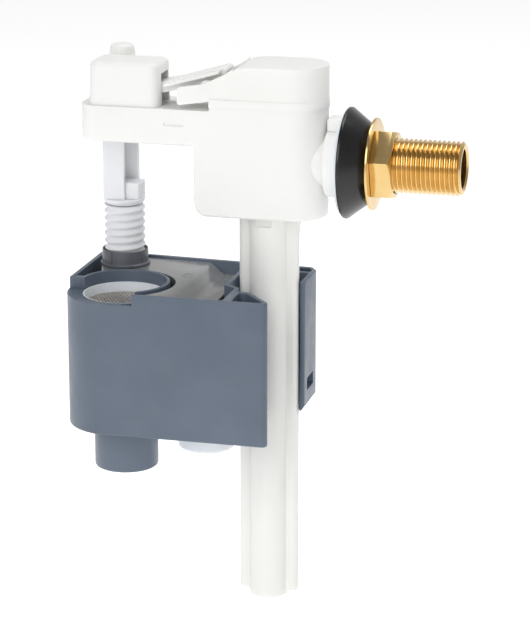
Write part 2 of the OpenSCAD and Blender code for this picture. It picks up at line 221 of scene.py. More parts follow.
def pullSolid(step):
    bpy.ops.mesh.edge_face_add()
    bpy.ops.mesh.extrude_region_move(TRANSFORM_OT_translate={"value": step})
    bpy.ops.mesh.select_all(action="SELECT")
    bpy.ops.mesh.normals_make_consistent(inside=False)
    bpy.ops.object.mode_set(mode="OBJECT")


def planSolid(name, corners, low, high, steps=6):
    piece = traceOutline(name, [spot(p.x, p.y, low) for p in softened(corners, steps)])
    pullSolid((0, 0, (high - low) * mm))
    return piece


def sideSolid(name, corners, front, back):
    piece = traceOutline(name, [spot(p.x, front, p.y) for p in softened(corners)])
    pullSolid((0, (back - front) * mm, 0))
    return piece


def turnedSolid(name, corners, middle, axis, steps, closed):
    # corners are (distance along the axis, radius, corner radius); the profile is spun round the axis
    out = Vector((0, 0, 1)) if axis[0] else Vector((1, 0, 0))
    along = Vector(axis)
    points = [middle + along * p.x * mm + out * p.y * mm for p in softened(corners, steps=4)]
    piece = traceOutline(name, points, closed)
    bpy.ops.mesh.spin(steps=steps, angle=2 * math.pi, center=middle, axis=axis)
    bpy.ops.mesh.select_all(action="SELECT")
    bpy.ops.mesh.remove_doubles(threshold=mergeGap)
    bpy.ops.mesh.normals_make_consistent(inside=False)
    bpy.ops.object.mode_set(mode="OBJECT")
    return piece


def uprightSolid(name, corners, x, y, steps=96, closed=True):
    return turnedSolid(name, corners, spot(x, y, 0), (0, 0, 1), steps, closed)


def inletSolid(name, corners, steps=96, closed=True):
    return turnedSolid(name, corners, spot(0, 0, 0), (1, 0, 0), steps, closed)


def barSolid(name, x, y, z, radius, length, axis, sides=48):
    turn = {"x": (0, math.pi / 2, 0), "y": (math.pi / 2, 0, 0), "z": (0, 0, 0)}[axis]
    deselectAll()
    bpy.ops.mesh.primitive_cylinder_add(vertices=sides, radius=radius * mm, depth=length * mm,
                                        location=spot(x, y, z), rotation=turn)
    piece = bpy.context.object
    piece.name = name
    bpy.ops.object.transform_apply(location=True, rotation=True, scale=True)
    return piece


def combine(piece, other, how):
    pick(piece)
    bpy.ops.object.modifier_add(type="BOOLEAN")
    step = piece.modifiers[-1]
    step.operation = how
    step.solver = "EXACT"
    step.object = other
    bpy.ops.object.modifier_apply(modifier=step.name)
    bpy.data.objects.remove(other)


def joinTo(piece, other):
    combine(piece, other, "UNION")


def cutFrom(piece, other):
    combine(piece, other, "DIFFERENCE")


def keepWithin(piece, other):
    combine(piece, other, "INTERSECT")


def middleOf(edge):
    # in millimetres from the pipe's axis
    middle = (edge.verts[0].co + edge.verts[1].co) / 2
    return (middle.x - pipeX) / mm, middle.y / mm, middle.z / mm


def bevelWhere(piece, width, segments, test):
    # bevels the sharp edges whose middle passes the test
    pick(piece)
    bpy.ops.object.mode_set(mode="EDIT")
    bpy.ops.mesh.select_all(action="SELECT")
    bpy.ops.mesh.remove_doubles(threshold=mergeGap)
    bpy.ops.mesh.select_mode(type="EDGE")
    bpy.ops.mesh.select_all(action="DESELECT")
    bpy.ops.mesh.edges_select_sharp(sharpness=math.radians(sharpEdge))
    edges = bmesh.from_edit_mesh(piece.data)
    for edge in edges.edges:
        if edge.select and not test(*middleOf(edge)):
            edge.select_set(False)
    edges.select_flush_mode()
    bmesh.update_edit_mesh(piece.data)
    if any(edge.select for edge in edges.edges):
        bpy.ops.mesh.bevel(offset=width * mm, segments=segments, affect="EDGES", clamp_overlap=True)
    bpy.ops.mesh.select_mode(type="VERT")
    bpy.ops.object.mode_set(mode="OBJECT")


def markCrease(piece, least, width, test):
    # keeps a shallow upright edge crisp under smooth shading
    pick(piece)
    bpy.ops.object.mode_set(mode="EDIT")
    bpy.ops.mesh.select_mode(type="EDGE")
    bpy.ops.mesh.select_all(action="DESELECT")
    edges = bmesh.from_edit_mesh(piece.data)
    for edge in edges.edges:
        upright = abs(edge.verts[0].co.z - edge.verts[1].co.z) > least * mm
        edge.select_set(upright and test(*middleOf(edge)))
    bmesh.update_edit_mesh(piece.data)
    bpy.ops.mesh.bevel(offset=width * mm, segments=2, affect="EDGES", clamp_overlap=True)
    bpy.ops.mesh.select_mode(type="VERT")
    bpy.ops.object.mode_set(mode="OBJECT")


def softenEdges(piece, width, segments=3, limit=32):
    pick(piece)
    bpy.ops.object.modifier_add(type="BEVEL")
    step = piece.modifiers[-1]
    step.width = width * mm
    step.segments = segments
    step.limit_method = "ANGLE"
    step.angle_limit = math.radians(limit)
    step.use_clamp_overlap = True
    bpy.ops.object.modifier_apply(modifier=step.name)


def finishPiece(piece, finish, body, slot, *nodes, smooth=38):
    pick(piece)
    bpy.ops.object.shade_smooth_by_angle(angle=math.radians(smooth))
    piece.data.materials.clear()
    piece.data.materials.append(finish)
    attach(piece, body)
    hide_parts(*nodes)
    return piece


# each finish is a few clouds of noise that stir its colour, its gloss and its relief
noiseReach = (0.3, 0.7)  # where nearly all of a cloud's values lie


class Paint:
    # a small hand for wiring one material's nodes
    def __init__(self, name):
        self.material = bpy.data.materials.new(name)
        self.material.use_nodes = True
        self.nodes = self.material.node_tree.nodes
        self.links = self.material.node_tree.links
        self.surface = self.nodes["Principled BSDF"]
        self.place = self.nodes.new("ShaderNodeTexCoord").outputs["Object"]

    def noise(self, scale, detail=3, stretch=(1, 1, 1)):
        fit = self.nodes.new("ShaderNodeMapping")
        fit.inputs["Scale"].default_value = stretch
        self.links.new(self.place, fit.inputs["Vector"])
        cloud = self.nodes.new("ShaderNodeTexNoise")
        cloud.inputs["Scale"].default_value = scale
        cloud.inputs["Detail"].default_value = detail
        self.links.new(fit.outputs["Vector"], cloud.inputs["Vector"])
        return cloud.outputs["Fac"]

    def between(self, factor, low, high):
        # a two-stop colour ramp
        ramp = self.nodes.new("ShaderNodeValToRGB")
        ramp.color_ramp.elements[0].position = noiseReach[0]
        ramp.color_ramp.elements[1].position = noiseReach[1]
        ramp.color_ramp.elements[0].color = (*low, 1)
        ramp.color_ramp.elements[1].color = (*high, 1)
        self.links.new(factor, ramp.inputs["Fac"])
        return ramp.outputs["Color"]

    def span(self, factor, low, high):
        reach = self.nodes.new("ShaderNodeMapRange")
        reach.inputs["From Min"].default_value = noiseReach[0]
        reach.inputs["From Max"].default_value = noiseReach[1]
        reach.inputs["To Min"].default_value = low
        reach.inputs["To Max"].default_value = high
        self.links.new(factor, reach.inputs["Value"])
        return reach.outputs["Result"]

    def bump(self, height, strength, distance, under=None):
        relief = self.nodes.new("ShaderNodeBump")
        relief.inputs["Strength"].default_value = strength
        relief.inputs["Distance"].default_value = distance * mm
        self.links.new(height, relief.inputs["Height"])
        if under:
            self.links.new(under, relief.inputs["Normal"])
        return relief.outputs["Normal"]

    def wear(self, factor, socket):
        self.links.new(factor, self.surface.inputs[socket])


plasticClouds = {"colour": 45, "gloss": 160, "ripple": 60, "grain": 2600}  # the larger, the finer
resinDepth = {"weight": 0.25, "radius": (1, 0.95, 0.85), "scale": 0.002}
brassLook = {"dark": (0.68, 0.47, 0.19), "light": (0.78, 0.56, 0.27), "gloss": (0.15, 0.21),
             "turningMarks": (6, 0.5, 0.5)}
rubberLook = {"dark": (0.004, 0.004, 0.005), "light": (0.010, 0.010, 0.011), "gloss": (0.2, 0.28)}
steelLook = {"gloss": (0.3, 0.45), "brushMarks": (1, 1, 6)}


def mouldedPlastic(name, light, dark, gloss, grain=0.12, ripple=0.2, shine=0.45):
    paint = Paint(name)
    paint.wear(paint.between(paint.noise(plasticClouds["colour"], 4), dark, light), "Base Color")
    paint.wear(paint.span(paint.noise(plasticClouds["gloss"], 3), gloss - 0.05, gloss + 0.07), "Roughness")
    broad = paint.bump(paint.noise(plasticClouds["ripple"], 1), ripple, 0.25)
    paint.wear(paint.bump(paint.noise(plasticClouds["grain"], 2), grain, 0.02, broad), "Normal")
    paint.surface.inputs["Specular IOR Level"].default_value = shine
    return paint.material


def whiteResin(name, light, dark, gloss):
    material = mouldedPlastic(name, light, dark, gloss)
    surface = material.node_tree.nodes["Principled BSDF"]
    surface.inputs["Subsurface Weight"].default_value = resinDepth["weight"]
    surface.inputs["Subsurface Radius"].default_value = resinDepth["radius"]
    surface.inputs["Subsurface Scale"].default_value = resinDepth["scale"]
    return material


def turnedBrass(name):
    paint = Paint(name)
    paint.wear(paint.between(paint.noise(90, 3), brassLook["dark"], brassLook["light"]), "Base Color")
    paint.surface.inputs["Metallic"].default_value = 1
    paint.wear(paint.span(paint.noise(220, 2), *brassLook["gloss"]), "Roughness")
    paint.wear(paint.bump(paint.noise(500, 2, brassLook["turningMarks"]), 0.1, 0.02), "Normal")
    return paint.material


def softRubber(name):
    paint = Paint(name)
    paint.wear(paint.between(paint.noise(80, 4), rubberLook["dark"], rubberLook["light"]), "Base Color")
    paint.wear(paint.span(paint.noise(240, 4), *rubberLook["gloss"]), "Roughness")
    paint.wear(paint.bump(paint.noise(900, 3), 0.06, 0.03), "Normal")
    return paint.material


def brushedSteel(name, light, dark):
    paint = Paint(name)
    paint.wear(paint.between(paint.noise(300, 3), dark, light), "Base Color")
    paint.surface.inputs["Metallic"].default_value = 1
    paint.wear(paint.span(paint.noise(700, 2), *steelLook["gloss"]), "Roughness")
    paint.wear(paint.bump(paint.noise(1500, 2, steelLook["brushMarks"]), 0.15, 0.02), "Normal")
    return paint.material


bodyWhite = whiteResin("bodyWhite", light=(0.86, 0.86, 0.845), dark=(0.84, 0.84, 0.82), gloss=0.42)
pipeWhite = whiteResin("pipeWhite", light=(0.84, 0.84, 0.81), dark=(0.81, 0.81, 0.78), gloss=0.45)
rodWhite = whiteResin("rodWhite", light=(0.82, 0.83, 0.85), dark=(0.79, 0.80, 0.83), gloss=0.4)
ringWhite = whiteResin("ringWhite", light=(0.80, 0.84, 0.88), dark=(0.77, 0.81, 0.86), gloss=0.3)
slatePlastic = mouldedPlastic("slatePlastic", light=(0.111, 0.142, 0.189), dark=(0.093, 0.122, 0.166),
                              gloss=0.36, ripple=0.08, shine=0.48)
deckPlastic = mouldedPlastic("deckPlastic", light=(0.2, 0.203, 0.207), dark=(0.19, 0.194, 0.199),
                             gloss=0.17, grain=0.03, ripple=0.03, shine=0.85)
collarPlastic = mouldedPlastic("collarPlastic", light=(0.115, 0.12, 0.14), dark=(0.10, 0.105, 0.125),
                               gloss=0.28, grain=0.1, ripple=0.1)
brass = turnedBrass("turnedBrass")
blackRubber = softRubber("blackRubber")
pinSteel = brushedSteel("pinSteel", light=(0.62, 0.61, 0.59), dark=(0.5, 0.49, 0.47))
meshSteel = brushedSteel("meshSteel", light=(0.86, 0.80, 0.74), dark=(0.72, 0.66, 0.60))
print("finishes mixed")


# valve body with its arm; a dictionary's inner ones are bars, given by their middle, radius and length
housing = {
    "left": -26.7, "right": 23, "half": 13.3, "low": -21.5, "top": 21.1, "topLeft": -20.3,
    "armLeft": -73, "armLow": 5.8, "armTop": 19.8, "armBack": 21, "lowRound": 4.6, "armRound": 1.7,
    "guideHole": (-69.8, -57.6, 5.6, 19.4), "slotMark": (-38.5, -30.2, 13.4, 15), "slotDepth": 0.5,
    "bossRadius": 9.8, "bossStart": 9, "bossEnd": 23.4,
    "inletSocket": {"x": 17.4, "radius": 9.1, "length": 16},
    "pipeSocket": {"z": -16, "radius": 7.85, "length": 14},
    "chamber": {"z": 20, "radius": 11.6, "length": 8},
}


def makeHousing():
    h = housing
    side = [(h["armLeft"] - 1, h["armLow"], 0), (h["left"], h["armLow"], 1.2), (h["left"], h["low"], 5.2),
            (h["right"] + 1, h["low"], 0), (h["right"] + 1, h["top"], 0), (h["topLeft"], h["top"], 0.5),
            (h["topLeft"], h["armTop"], 0.8), (h["armLeft"] - 1, h["armTop"], 0)]
    body = sideSolid("valveHousing", side, -h["half"] - 8, h["armBack"] + 4)
    endRound = h["half"] - 0.05
    plan = [(h["armLeft"], -h["half"], 7.5), (h["right"], -h["half"], endRound),
            (h["right"], h["half"], endRound), (h["topLeft"], h["half"], 0), (-42, 12.5, 3),
            (-51, h["armBack"], 5.2), (h["armLeft"], h["armBack"], 5)]
    keepWithin(body, planSolid("housingPlan", plan, h["low"] - 5, h["top"] + 5, steps=14))
    bevelWhere(body, h["lowRound"], 6,
               lambda x, y, z: z < h["low"] + 4.5 or (x < h["left"] + 0.6 and z < 15))
    bevelWhere(body, h["armRound"], 4, lambda x, y, z: x < h["topLeft"] - 1 and z > h["armTop"] - 1)
    cutFrom(body, planSolid("guideHole", boxCorners(*h["guideHole"], 0.6), 0, 25))
    cutFrom(body, sideSolid("slotMark", boxCorners(*h["slotMark"], 0.6),
                            -h["half"] - 2, -h["half"] + h["slotDepth"]))
    joinTo(body, barSolid("inletBoss", (h["bossStart"] + h["bossEnd"]) / 2, 0, 0, h["bossRadius"],
                          h["bossEnd"] - h["bossStart"], "x", 72))
    cutFrom(body, barSolid("inletSocket", y=0, z=0, axis="x", sides=72, **h["inletSocket"]))
    cutFrom(body, barSolid("pipeSocket", 0, 0, axis="z", **h["pipeSocket"]))
    cutFrom(body, barSolid("chamberBore", 0, 0, axis="z", **h["chamber"]))
    return finishPiece(body, bodyWhite, "body", "white_plastic", "valve_housing")


# cap over the diaphragm's chamber
cap = {
    "left": -14, "right": 23.1, "half": 13.4, "low": 21.15, "top": 37.2, "backRound": 9, "topRound": 1.3,
    "bandLeft": -20.6, "bandHalf": 13.65, "bandTop": 24.5, "cheekInside": 10.4, "cheekOutside": 13.38,
    "pivot": (-22, 28.2), "bossMiddle": 9, "pivotBoss": {"radius": 2.9, "length": 3.6},
    "pivotBore": {"radius": 1.3, "length": 25.2}, "nozzle": -16.2,
    "nozzleBoss": {"z": 26, "radius": 2.6, "length": 4}, "nozzleBore": {"z": 27, "radius": 1.8, "length": 4},
    "padRoom": {"z": 32, "radius": 2.8, "length": 7.9}, "chamberRoof": {"z": 21, "length": 5.3},
}


def lidOutline(left, half, backRound=0.6):
    right = cap["right"] + half - cap["half"]
    endRound = half - 0.05
    return [(left, -half, 0.6), (right, -half, endRound), (right, half, endRound), (left, half, backRound)]


def makeCap():
    c = cap
    outline = lidOutline(c["left"], c["half"], c["backRound"])
    lid = planSolid("chamberCap", outline, c["low"], c["top"] + 4, steps=16)
    rise = [(c["left"] - 1, c["low"] - 2, 0), (c["left"] - 1, 31.6, 0), (-13.4, 34.2, 1.5), (-9, 36.7, 4),
            (-3, c["top"], 8), (30, c["top"], 0), (30, c["low"] - 2, 0)]
    keepWithin(lid, sideSolid("capRise", rise, -20, 20))
    bevelWhere(lid, c["topRound"], 5, lambda x, y, z: z > 33.5)
    band = lidOutline(c["bandLeft"], c["bandHalf"])
    joinTo(lid, planSolid("capBand", band, c["low"], c["bandTop"], steps=16))
    cheek = [(-33, 21.6, 1), (-12, 24.9, 0), (-11, 36.5, 0), (-14.6, 33.9, 2), (-23, 29.9, 4), (-33, 28.2, 1)]
    joinTo(lid, sideSolid("frontCheek", cheek, -c["cheekOutside"], -c["cheekInside"]))
    joinTo(lid, sideSolid("backCheek", cheek, c["cheekInside"], c["cheekOutside"]))
    pivotX, pivotZ = c["pivot"]
    for middle in (-c["bossMiddle"], c["bossMiddle"]):
        joinTo(lid, barSolid("pivotBoss", pivotX, middle, pivotZ, axis="y", **c["pivotBoss"]))
    joinTo(lid, barSolid("nozzleBoss", c["nozzle"], 0, axis="z", **c["nozzleBoss"]))
    softenEdges(lid, 0.35, 3)
    cutFrom(lid, barSolid("padRoom", c["nozzle"], 0, axis="z", **c["padRoom"]))
    chamberRadius = housing["chamber"]["radius"]
    cutFrom(lid, barSolid("chamberRoof", 0, 0, radius=chamberRadius, axis="z", **c["chamberRoof"]))
    cutFrom(lid, barSolid("pivotBore", pivotX, 0, pivotZ, axis="y", **c["pivotBore"]))
    cutFrom(lid, barSolid("nozzleBore", c["nozzle"], 0, axis="z", **c["nozzleBore"]))
    return finishPiece(lid, bodyWhite, "body", "white_plastic", "chamber_cap")


lever = {"front": -6.4, "middle": -0.6, "back": 5.2, "wall": 2, "edgeRound": 0.7, "hub": 2.9, "bore": 1.35,
         "eye": (-62.5, 23.4), "eyeHalf": (2.6, 2), "eyeRound": 1.8, "apronReach": 3.5, "apronRoot": 1.1}


def makeLever():
    v = lever
    pivotX, pivotZ = cap["pivot"]
    edge = [(-66, 20.6, 1), (-60, 20.8, 2), (-50, 22.6, 8), (-40, 25, 8), (-25, 28.2, 3), (-18, 31.2, 3),
            (-15.6, 32.2, 1), (-15.4, 35.1, 1.3), (-17.2, 35.3, 1), (-34.9, 30.1, 20), (-42.5, 28.4, 12),
            (-60, 26.4, 4), (-66, 26, 1.2)]
    bar = sideSolid("floatLever", edge, v["front"], v["back"])
    joinTo(bar, barSolid("leverHub", pivotX, v["middle"], pivotZ, v["hub"], v["back"] - v["front"], "y"))
    softenEdges(bar, v["edgeRound"], 4)
    hollow = [(-58, 15, 0), (-27, 15, 0), (-27, 30.2, 1), (-34.9, 28.1, 8), (-42.5, 26.4, 8), (-58, 24.4, 1)]
    cutFrom(bar, sideSolid("leverHollow", hollow, v["front"] + v["wall"], v["back"] - v["wall"]))
    eyeX, eyeZ = v["eye"]
    halfX, halfZ = v["eyeHalf"]
    eye = boxCorners(eyeX - halfX, eyeX + halfX, eyeZ - halfZ, eyeZ + halfZ, v["eyeRound"])
    cutFrom(bar, sideSolid("leverEye", eye, v["front"] - 2, v["back"] + 2))
    cutFrom(bar, barSolid("leverBore", pivotX, v["middle"], pivotZ, v["bore"], 14, "y"))
    skirt = [(-39.5, 27.5, 0), (-34.9, 28.6, 8), (-17.4, 33.6, 0), (-17.4, 34.7, 0), (-34.9, 29.7, 8),
             (-39.5, 28.6, 0)]
    apron = sideSolid("leverApron", skirt, v["front"] - v["apronReach"], v["front"] + v["apronRoot"])
    softenEdges(apron, 0.35, 3)
    joinTo(bar, apron)  # softened alone and joined last, as its faces lie close to the lever's
    return finishPiece(bar, bodyWhite, "lever", "white_plastic", "float_lever")


# hood over the lever's far end, open below
hood = {"left": -69.1, "right": -40.7, "front": -12.5, "back": 7.3, "low": 19.8, "top": 36.6, "draft": 0.968,
        "corner": 3.8, "crown": 1.9, "wall": 1.6, "innerRound": 1.2, "gapLeft": -50, "gapRight": -38,
        "gapTop": 32.2, "linkHalf": 2.3, "linkFront": 4, "linkBack": 9, "linkTop": 31.8}


def makeHood():
    h = hood
    sizeX, sizeY, sizeZ = h["right"] - h["left"], h["back"] - h["front"], h["top"] - h["low"]
    centre = spot((h["left"] + h["right"]) / 2, (h["front"] + h["back"]) / 2, (h["low"] + h["top"]) / 2)
    deselectAll()
    bpy.ops.mesh.primitive_cube_add(size=1, location=centre, scale=(sizeX * mm, sizeY * mm, sizeZ * mm))
    box = bpy.context.object
    box.name = "armHood"
    bpy.ops.object.transform_apply(location=True, rotation=True, scale=True)
    bpy.ops.object.mode_set(mode="EDIT")
    bpy.ops.mesh.select_mode(type="FACE")
    bpy.ops.mesh.select_all(action="DESELECT")
    faces = bmesh.from_edit_mesh(box.data)
    for face in faces.faces:
        face.select_set(face.normal.z > 0.9)
    bmesh.update_edit_mesh(box.data)
    bpy.ops.transform.resize(value=(h["draft"], h["draft"], 1))
    bpy.ops.mesh.select_mode(type="VERT")
    bpy.ops.object.mode_set(mode="OBJECT")
    bevelWhere(box, h["corner"], 8, lambda x, y, z: h["low"] + 1 < z < h["top"] - 1)
    bevelWhere(box, h["crown"], 5, lambda x, y, z: z > h["top"] - 0.5)
    wall = h["wall"]
    inside = boxCorners(h["left"] + wall, h["right"] - wall, h["front"] + wall, h["back"] - wall,
                        h["innerRound"])
    cutFrom(box, planSolid("hoodInside", inside, h["low"] - 2, h["top"] - wall))
    gap = boxCorners(h["gapLeft"], h["gapRight"], lever["front"] - 0.5, lever["back"] + 0.4)
    cutFrom(box, planSolid("leverGap", gap, h["low"] - 2, h["gapTop"]))
    linkX = lever["eye"][0]
    link = boxCorners(linkX - h["linkHalf"], linkX + h["linkHalf"], h["linkFront"], h["linkBack"])
    cutFrom(box, planSolid("linkGap", link, h["low"] - 2, h["linkTop"]))
    return finishPiece(box, bodyWhite, "body", "white_plastic", "arm_hood")


# the float's rod: a channel on top, with a stem and a button, and a threaded spindle below
rod = {"x": -62.5, "y": 12.5, "left": -69.4, "right": -58, "frontRight": -60.6, "front": 6, "back": 19,
       "low": -21.5, "top": 13, "wall": 1.8, "inset": 0.5, "stem": 4.6, "stemTop": 30,
       "linkBore": {"y": 12, "z": 23.4, "radius": 1.8, "length": 12}}


def makeRail():
    r = rod
    innerLeft, innerFront, innerBack = r["left"] + r["wall"], r["front"] + r["wall"], r["back"] - r["wall"]
    channel = [(r["left"], r["front"], 0.8), (r["frontRight"], r["front"], 0.4),
               (r["frontRight"], innerFront, 0.4), (innerLeft, innerFront, 0.3), (innerLeft, innerBack, 0.3),
               (r["right"], innerBack, 0.4), (r["right"], r["back"], 0.4), (r["left"], r["back"], 0.8)]
    rail = planSolid("rodRail", channel, r["low"], r["top"])
    inset = r["inset"]
    lid = boxCorners(r["left"] + inset, r["right"] - inset, r["front"] + inset, r["back"] - inset, 0.8, 0.4)
    joinTo(rail, planSolid("railTop", lid, r["top"] - 2, r["top"] + 0.4))
    joinTo(rail, barSolid("railStem", r["x"], r["y"], (r["top"] + r["stemTop"]) / 2 - 0.5, r["stem"],
                          r["stemTop"] - r["top"] + 1, "z"))
    softenEdges(rail, 0.25, 2)
    cutFrom(rail, barSolid("linkBore", r["x"], axis="y", **r["linkBore"]))
    return finishPiece(rail, rodWhite, "rod", "white_plastic", "rod_rail")


button = {"low": 30.05, "shoulder": 36.4, "crown": 39.7, "top": 39.85, "radius": 5, "crownRadius": 4.5}


def makeButton():
    b = button
    profile = [(b["low"], 0, 0), (b["low"], b["radius"], 0.3), (b["shoulder"], b["radius"], 0),
               (b["crown"], b["crownRadius"], 1.8), (b["top"], 0, 0)]
    knob = uprightSolid("testButton", profile, rod["x"], rod["y"], 64, closed=False)
    return finishPiece(knob, bodyWhite, "rod", "white_plastic", "test_button")


waveSteps = 8


def threadedRod(name, axis, pitch, turns, root, crest, steps, crestShare=None):
    # one turn of the profile is screwed along the axis, then both ends are trimmed flat and closed
    depth = crest - root
    if crestShare is None:  # a soft wave, for the moulded thread
        swell = [(0.5 - 0.5 * math.cos(2 * math.pi * step / waveSteps)) ** 0.8
                 for step in range(waveSteps + 1)]
        marks = [(step / waveSteps, root + depth * height) for step, height in enumerate(swell)]
    else:
        flank = (1 - crestShare) / 2
        shoulder = root + depth * 0.55
        marks = [(0, root), (flank * 0.55, shoulder), (flank, crest), (flank + crestShare * 0.7, crest),
                 (flank * 1.45 + crestShare * 0.7, shoulder), (1, root)]
    points = []
    for share, radius in marks:
        along, out = share * pitch * mm, radius * mm
        points.append(Vector((along, 0, out)) if axis == "X" else Vector((out, 0, along)))
    piece = traceOutline(name, points, closed=False)
    bpy.ops.object.mode_set(mode="OBJECT")
    bpy.ops.object.modifier_add(type="SCREW")
    turn = piece.modifiers[-1]
    turn.axis = axis
    turn.angle = 2 * math.pi
    turn.screw_offset = pitch * mm
    turn.iterations = turns + 1
    turn.steps = steps
    turn.render_steps = steps
    bpy.ops.object.modifier_apply(modifier=turn.name)
    bpy.ops.object.mode_set(mode="EDIT")
    bpy.ops.mesh.select_all(action="SELECT")
    bpy.ops.mesh.remove_doubles(threshold=mergeGap)
    forward = Vector((1, 0, 0)) if axis == "X" else Vector((0, 0, 1))
    for station, side in ((pitch, -1), (pitch * turns, 1)):
        bpy.ops.mesh.select_all(action="SELECT")
        bpy.ops.mesh.bisect(plane_co=forward * station * mm, plane_no=forward * side, use_fill=True,
                            clear_outer=True)
    bpy.ops.mesh.select_all(action="SELECT")
    bpy.ops.mesh.normals_make_consistent(inside=False)
    bpy.ops.object.mode_set(mode="OBJECT")
    return piece


def slideMesh(piece, step):
    pick(piece)
    bpy.ops.object.mode_set(mode="EDIT")
    bpy.ops.mesh.select_all(action="SELECT")
    bpy.ops.transform.translate(value=step)
    bpy.ops.object.mode_set(mode="OBJECT")


spindle = {"top": -22.5, "low": -82.5, "pitch": 3, "root": 7, "crest": 8.15, "lead": 1.2,
           "head": (-67.5, -55.2, 8, 17.1), "headLow": -21.6, "headTop": -15,
           "grooves": 4, "grooveStart": 1.2, "grooveStep": 1.9, "grooveWidth": 0.9, "grooveDepth": 0.7,
           "grooveLow": -20.9, "grooveTop": -15.8}


def makeSpindle():
    s = spindle
    top = s["top"]
    turns = round((top - s["low"]) / s["pitch"])
    screw = threadedRod("threadedSpindle", "Z", s["pitch"], turns, s["root"], s["crest"], 48)
    slideMesh(screw, spot(rod["x"], rod["y"], s["low"] - s["pitch"] + s["lead"]))
    neck = [(top + 0.9, 0, 0), (top + 0.9, 8.4, 0.3), (top - 0.2, 8.1, 0.3), (top - 1.4, 7.2, 0.3),
            (top - 1.4, 0, 0)]
    joinTo(screw, uprightSolid("spindleNeck", neck, rod["x"], rod["y"], 64, closed=False))
    x0, x1, y0, y1 = s["head"]
    head = planSolid("spindleHead", boxCorners(x0, x1, y0, y1, 0.5, 0.8), s["headLow"], s["headTop"])
    softenEdges(head, 0.3, 3)
    for step in range(s["grooves"]):
        front = y0 + s["grooveStart"] + s["grooveStep"] * step
        groove = boxCorners(x1 - s["grooveDepth"], x1 + 1, front, front + s["grooveWidth"], 0.2, 0)
        cutFrom(head, planSolid("headGroove", groove, s["grooveLow"], s["grooveTop"], 3))
    joinTo(screw, head)
    return finishPiece(screw, rodWhite, "rod", "white_plastic", "threaded_spindle", smooth=50)


thumbCollar = {"low": -48.7, "top": -42.3, "bore": 8.2, "flange": 9.9, "flangeTop": -47.9, "skirt": 9.2,
               "grips": (250, 70), "gripRing": 9.1, "gripBar": {"z": -44.9, "radius": 0.5, "length": 4.6}}


def makeCollar():
    t = thumbCollar
    profile = [(t["low"], t["bore"], 0.1), (t["low"], t["flange"], 0.2), (t["flangeTop"], t["flange"], 0.2),
               (-47.3, t["skirt"], 0.3), (t["top"], 9.15, 0.3), (t["top"], 8.7, 0.15), (-44.1, 8.45, 0.2),
               (-44.5, t["bore"], 0.1)]
    ring = uprightSolid("thumbCollar", profile, rod["x"], rod["y"])
    for turn in t["grips"]:
        x = rod["x"] + t["gripRing"] * math.cos(math.radians(turn))
        y = rod["y"] + t["gripRing"] * math.sin(math.radians(turn))
        joinTo(ring, barSolid("collarGrip", x, y, axis="z", sides=16, **t["gripBar"]))
    return finishPiece(ring, collarPlastic, "collar", "slate_plastic", "thumb_collar")


# the float: a bucket with a deck inside its rim, and a round cup that drains through a tail
bucket = {"rim": -48, "low": -105.1, "wall": 1.8, "step": 4.6, "nose": (-55.5, -15.6), "noseRadius": 21,
          "noseSteps": 18, "lowRound": 0.7, "rimRound": 0.4, "web": 4, "checkGap": 0.4}


def rimCut():
    return planSolid("rimCut", boxCorners(-80, -45, -40, -15.5), bucket["rim"] - bucket["step"],
                     bucket["rim"] + 5)


def makeShell():
    b = bucket
    rim, low, floor = b["rim"], b["low"], b["low"] + b["wall"]
    radius, steps = b["noseRadius"], b["noseSteps"]
    outer = arcCorners(*b["nose"], radius, 180, 256.2, steps) + [
        (10.1, -36, 2), (-2.6, -20.5, 0), (-8, -20.5, 0), (-8, -15, 0), (-13, -12, 0), (-13, 13, 0),
        (12.5, 13, 0), (12.5, -1.4, 0), (14.5, -1.4, 0), (14.5, 18, 0), (12, 22, 0), (-76.5, 27, 3.5)]
    shell = planSolid("floatShell", outer, low, rim)
    bevelWhere(shell, b["lowRound"], 4, lambda x, y, z: z < rim - 1)
    inner = arcCorners(*b["nose"], radius - b["wall"], 180, 255.5, steps) + [
        (-9.8, -34.2, 1), (-9.8, -16, 1), (-14.8, -13, 1), (-14.8, 14.8, 1), (12.7, 14.8, 0.8),
        (12.7, 17.4, 1), (11.2, 20.2, 1), (-74.7, 25.2, 2.2)]
    cutFrom(shell, planSolid("shellInside", inner, floor, rim + 5))
    pocket = [(-6.2, -34.2, 0.8), (6.4, -34.2, 0.8), (-3.4, -22.3, 0.8), (-6.2, -22.3, 0.6)]
    cutFrom(shell, planSolid("shellPocket", pocket, floor, rim + 5))
    bevelWhere(shell, b["rimRound"], 3, lambda x, y, z: z > rim - 0.1)
    cutFrom(shell, rimCut())
    webTop = rim - b["step"]
    webLow = webTop - b["web"]
    webPlan = arcCorners(*b["nose"], radius - 0.8, 180, 256, steps) + [(-50, -34.9, 0), (-50, -15.4, 0)]
    web = planSolid("cupWeb", webPlan, webLow, webTop)
    joinTo(web, planSolid("rimBridge", boxCorners(-76, -69, -15.4, -12.4), webLow, rim - 0.3))
    cutFrom(web, barSolid("cupSpace", cup["x"], cup["y"], rim, cup["radius"] + 0.1, 40, "z", 112))
    joinTo(shell, web)
    cutFrom(shell, barSolid("tailHole", cup["x"], cup["y"], low, cup["tailRadius"] + 0.1, 8, "z", 96))
    f = checkFoot
    cutFrom(shell, barSolid("checkHole", f["x"], f["y"], low, f["radius"] + b["checkGap"], 8, "z", 96))
    corner = [(16, low - 1, 0), (16, low + 9, 0), (9, low - 1, 0)]
    cutFrom(shell, sideSolid("shellCorner", corner, -3, 30))
    cutFrom(shell, planSolid("shellWindow", boxCorners(12, 16, 3, 13, 0.3), low + 12, low + 17))
    markCrease(shell, 5, 0.3, lambda x, y, z: abs(y + 36) < 0.05 and x < -55 and abs(z + 77) < 25)
    return finishPiece(shell, slatePlastic, "float", "slate_plastic", "float_shell")


